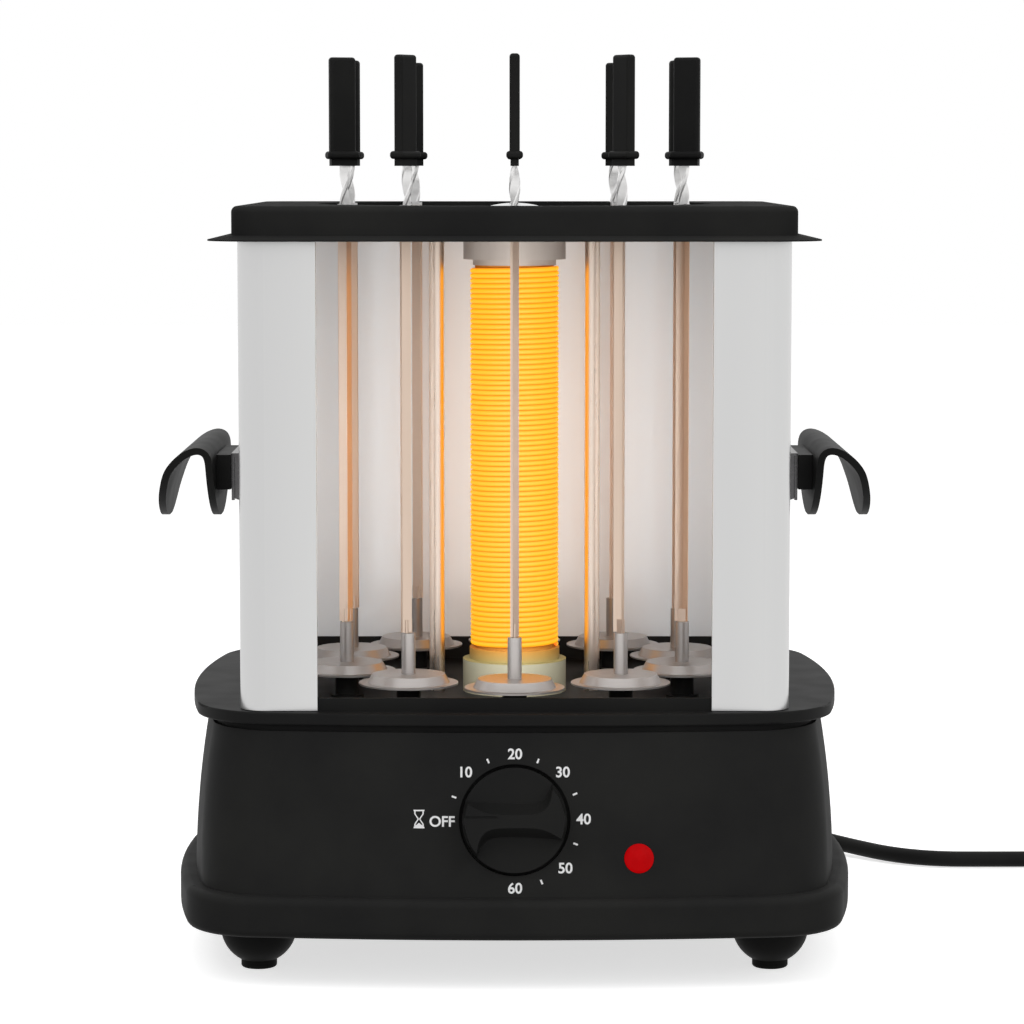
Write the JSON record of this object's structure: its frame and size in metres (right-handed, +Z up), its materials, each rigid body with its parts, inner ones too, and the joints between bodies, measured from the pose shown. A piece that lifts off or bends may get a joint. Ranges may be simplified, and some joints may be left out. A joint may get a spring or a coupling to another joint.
{
  "type": "electric skewer grill",
  "caption": "Upright electric skewer grill: vertical skewers in a ring turn round a glowing heater, between a drip tray and a lid, over a base with a timer.",
  "frame": {"origin": "on the table under the heater's axis, midway between the feet", "axes": "+Z up along the heater, -Y towards the timer knob, +X to the right seen from the front"},
  "size_m": [0.5534, 0.4686, 0.3791],
  "materials": {
    "black_moulding": "semi-gloss moulded black",
    "black_soft": "matte",
    "tray_enamel": "dark semi-gloss enamel",
    "polished_steel": "polished",
    "holder_steel": "satin",
    "lid_enamel": "satin",
    "blade_steel": "bright rolled",
    "dish_aluminium": "spun",
    "zinc_steel": "zinc plated",
    "gear_plastic": "natural acetal",
    "bush_black": "satin",
    "heater_ceramic": null,
    "glowing_wire": "resistance wire, glowing orange",
    "lamp_red": "translucent red, lit",
    "knob_black": "semi-gloss",
    "grip_black": "satin",
    "cord_black": "matte"
  },
  "bodies": {
    "base": {"bottom_pan": "black_moulding", "base_housing": "black_moulding", "ball_feet": "black_moulding", "foot_pads": "black_soft", "drip_tray": "tray_enamel", "spindle_bushes": "bush_black", "gear_plate": "zinc_steel", "heater_former": "heater_ceramic", "heater_coil": "glowing_wire", "heater_top_holder": "holder_steel", "support_posts": "polished_steel", "lid": "lid_enamel", "lid_cap_nut": "polished_steel", "gear_motor": "zinc_steel", "timer_body": "zinc_steel", "lamp_lens": "lamp_red", "cord_gland": "cord_black", "cord": "cord_black", "cord_coil": "cord_black", "plug": "cord_black", "screws": "zinc_steel"},
    "timer_knob": {"timer_knob": "knob_black"},
    "sun_gear": {"sun_gear": "gear_plastic"},
    "motor_pinion": {"motor_pinion": "gear_plastic"},
    "spindle_01": {"spindle_01": "dish_aluminium"},
    "skewer_01": {"skewer_blade_01": "blade_steel", "skewer_handle_01": "grip_black"},
    "spindle_02": {"spindle_02": "dish_aluminium"},
    "skewer_02": {"skewer_blade_02": "blade_steel", "skewer_handle_02": "grip_black"},
    "spindle_03": {"spindle_03": "dish_aluminium"},
    "skewer_03": {"skewer_blade_03": "blade_steel", "skewer_handle_03": "grip_black"},
    "spindle_04": {"spindle_04": "dish_aluminium"},
    "skewer_04": {"skewer_blade_04": "blade_steel", "skewer_handle_04": "grip_black"},
    "spindle_05": {"spindle_05": "dish_aluminium"},
    "skewer_05": {"skewer_blade_05": "blade_steel", "skewer_handle_05": "grip_black"},
    "spindle_06": {"spindle_06": "dish_aluminium"},
    "skewer_06": {"skewer_blade_06": "blade_steel", "skewer_handle_06": "grip_black"},
    "spindle_07": {"spindle_07": "dish_aluminium"},
    "skewer_07": {"skewer_blade_07": "blade_steel", "skewer_handle_07": "grip_black"},
    "spindle_08": {"spindle_08": "dish_aluminium"},
    "skewer_08": {"skewer_blade_08": "blade_steel", "skewer_handle_08": "grip_black"},
    "spindle_09": {"spindle_09": "dish_aluminium"},
    "skewer_09": {"skewer_blade_09": "blade_steel", "skewer_handle_09": "grip_black"},
    "spindle_10": {"spindle_10": "dish_aluminium"},
    "skewer_10": {"skewer_blade_10": "blade_steel", "skewer_handle_10": "grip_black"},
    "left_half": {"left_shell": "polished_steel", "left_handle": "grip_black", "left_bracket": "polished_steel"},
    "right_half": {"right_shell": "polished_steel", "right_handle": "grip_black", "right_bracket": "polished_steel"}
  },
  "joints": [
    {"name": "timer_turn", "type": "hinge", "parent": "base", "child": "timer_knob", "pos_m": [0, -0.10919, 0.0708], "axis": [0, 0.9927, -0.1207], "range_deg": [0, 270]},
    {"name": "sun_spin", "type": "hinge", "parent": "base", "child": "sun_gear", "pos_m": [0, 0, 0.0997], "axis": [0, 0, 1], "continuous": true},
    {"name": "motor_spin", "type": "hinge", "parent": "base", "child": "motor_pinion", "pos_m": [0.02271, 0.0699, 0.0974], "axis": [0, 0, 1], "continuous": true},
    {"name": "spindle_01_spin", "type": "hinge", "parent": "base", "child": "spindle_01", "pos_m": [0, -0.075, 0.102], "axis": [0, 0, 1], "continuous": true},
    {"name": "skewer_01_lift", "type": "slide", "parent": "spindle_01", "child": "skewer_01", "axis": [0, 0, 1], "range_m": [0, 0.2]},
    {"name": "spindle_02_spin", "type": "hinge", "parent": "base", "child": "spindle_02", "pos_m": [0.04408, -0.06068, 0.102], "axis": [0, 0, 1], "continuous": true},
    {"name": "skewer_02_lift", "type": "slide", "parent": "spindle_02", "child": "skewer_02", "axis": [0, 0, 1], "range_m": [0, 0.2]},
    {"name": "spindle_03_spin", "type": "hinge", "parent": "base", "child": "spindle_03", "pos_m": [0.07133, -0.02318, 0.102], "axis": [0, 0, 1], "continuous": true},
    {"name": "skewer_03_lift", "type": "slide", "parent": "spindle_03", "child": "skewer_03", "axis": [0, 0, 1], "range_m": [0, 0.2]},
    {"name": "spindle_04_spin", "type": "hinge", "parent": "base", "child": "spindle_04", "pos_m": [0.07133, 0.02318, 0.102], "axis": [0, 0, 1], "continuous": true},
    {"name": "skewer_04_lift", "type": "slide", "parent": "spindle_04", "child": "skewer_04", "axis": [0, 0, 1], "range_m": [0, 0.2]},
    {"name": "spindle_05_spin", "type": "hinge", "parent": "base", "child": "spindle_05", "pos_m": [0.04408, 0.06068, 0.102], "axis": [0, 0, 1], "continuous": true},
    {"name": "skewer_05_lift", "type": "slide", "parent": "spindle_05", "child": "skewer_05", "axis": [0, 0, 1], "range_m": [0, 0.2]},
    {"name": "spindle_06_spin", "type": "hinge", "parent": "base", "child": "spindle_06", "pos_m": [0, 0.075, 0.102], "axis": [0, 0, 1], "continuous": true},
    {"name": "skewer_06_lift", "type": "slide", "parent": "spindle_06", "child": "skewer_06", "axis": [0, 0, 1], "range_m": [0, 0.2]},
    {"name": "spindle_07_spin", "type": "hinge", "parent": "base", "child": "spindle_07", "pos_m": [-0.04408, 0.06068, 0.102], "axis": [0, 0, 1], "continuous": true},
    {"name": "skewer_07_lift", "type": "slide", "parent": "spindle_07", "child": "skewer_07", "axis": [0, 0, 1], "range_m": [0, 0.2]},
    {"name": "spindle_08_spin", "type": "hinge", "parent": "base", "child": "spindle_08", "pos_m": [-0.07133, 0.02318, 0.102], "axis": [0, 0, 1], "continuous": true},
    {"name": "skewer_08_lift", "type": "slide", "parent": "spindle_08", "child": "skewer_08", "axis": [0, 0, 1], "range_m": [0, 0.2]},
    {"name": "spindle_09_spin", "type": "hinge", "parent": "base", "child": "spindle_09", "pos_m": [-0.07133, -0.02318, 0.102], "axis": [0, 0, 1], "continuous": true},
    {"name": "skewer_09_lift", "type": "slide", "parent": "spindle_09", "child": "skewer_09", "axis": [0, 0, 1], "range_m": [0, 0.2]},
    {"name": "spindle_10_spin", "type": "hinge", "parent": "base", "child": "spindle_10", "pos_m": [-0.04408, -0.06068, 0.102], "axis": [0, 0, 1], "continuous": true},
    {"name": "skewer_10_lift", "type": "slide", "parent": "spindle_10", "child": "skewer_10", "axis": [0, 0, 1], "range_m": [0, 0.2]},
    {"name": "left_half_pull", "type": "slide", "parent": "base", "child": "left_half", "axis": [-1, 0, 0], "range_m": [0, 0.14]},
    {"name": "right_half_pull", "type": "slide", "parent": "base", "child": "right_half", "axis": [1, 0, 0], "range_m": [0, 0.14]}
  ],
  "couplings": [
    {"joint": "motor_spin", "follows": "sun_spin", "ratio": -4.4444},
    {"joint": "spindle_01_spin", "follows": "sun_spin", "ratio": -4},
    {"joint": "spindle_02_spin", "follows": "sun_spin", "ratio": -4},
    {"joint": "spindle_03_spin", "follows": "sun_spin", "ratio": -4},
    {"joint": "spindle_04_spin", "follows": "sun_spin", "ratio": -4},
    {"joint": "spindle_05_spin", "follows": "sun_spin", "ratio": -4},
    {"joint": "spindle_06_spin", "follows": "sun_spin", "ratio": -4},
    {"joint": "spindle_07_spin", "follows": "sun_spin", "ratio": -4},
    {"joint": "spindle_08_spin", "follows": "sun_spin", "ratio": -4},
    {"joint": "spindle_09_spin", "follows": "sun_spin", "ratio": -4},
    {"joint": "spindle_10_spin", "follows": "sun_spin", "ratio": -4}
  ]
}
